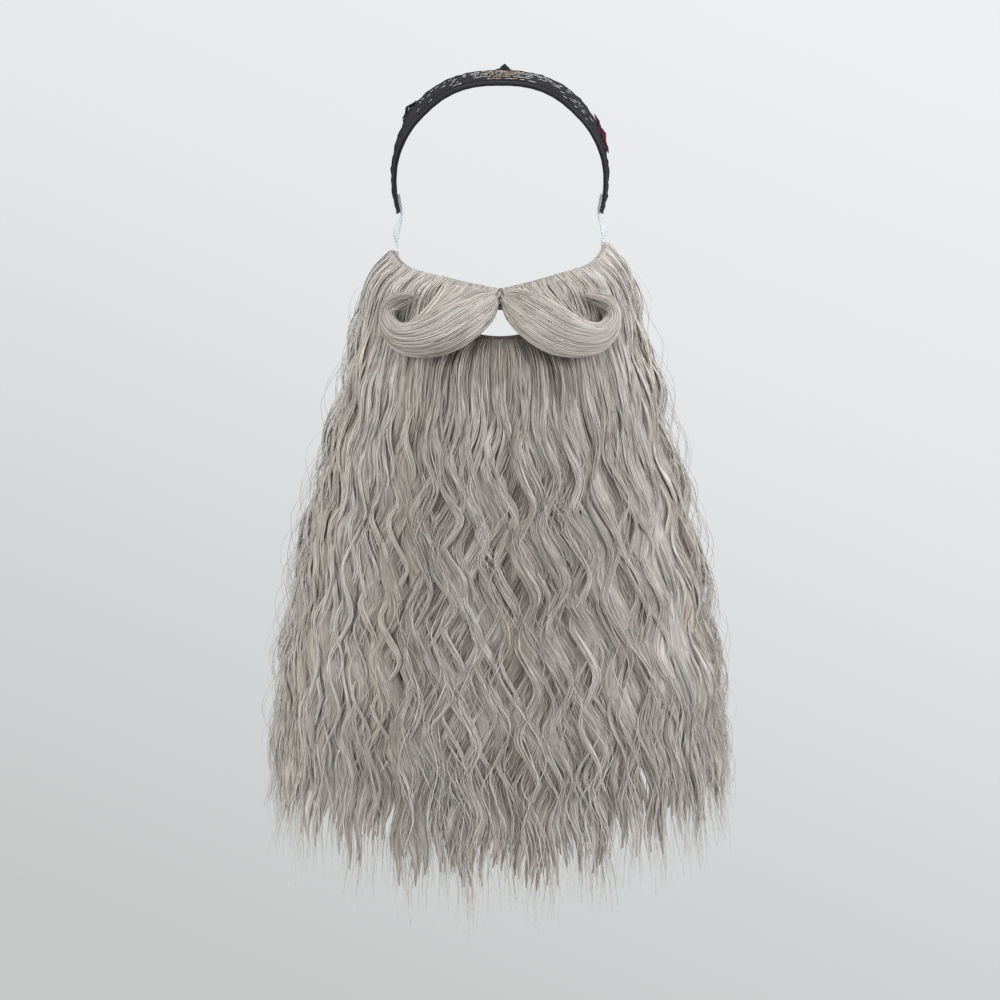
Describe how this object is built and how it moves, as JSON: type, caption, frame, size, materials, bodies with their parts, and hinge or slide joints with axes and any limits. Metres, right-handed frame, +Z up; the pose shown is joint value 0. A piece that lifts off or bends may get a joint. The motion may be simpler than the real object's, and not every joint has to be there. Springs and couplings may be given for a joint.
{
  "type": "fake beard",
  "caption": "Long wavy grey costume beard with a curled handlebar moustache on a fabric backing, held up by a black stretch-net head band and clear ear straps.",
  "frame": {"origin": "the inside of the head band at the crown, where it rests on the top of the head that wears it", "axes": "+Z up, the beard faces -Y, +X is the wearer's left"},
  "size_m": [0.3329, 0.1375, 0.6043],
  "materials": {
    "hair": "soft grey synthetic fibre with a low sheen",
    "backing_fabric": "matte stretch fabric",
    "black_net": "matte stretch net",
    "black_elastic": "smooth knitted elastic",
    "maroon_thread": "matte gathered thread",
    "clear_elastic": "clear smooth elastic"
  },
  "bodies": {
    "root": {"beard_backing": "backing_fabric", "cheek_hair_right": "hair", "cheek_hair_left": "hair", "chin_hair": "hair", "moustache_right": "hair", "moustache_left": "hair", "ear_strap_right": "clear_elastic", "ear_strap_left": "clear_elastic", "head_band_net": "black_net", "head_band_binding": "black_elastic", "crown_tuft": "black_net", "net_bunch": "black_net", "maroon_gather": "maroon_thread"}
  },
  "joints": []
}
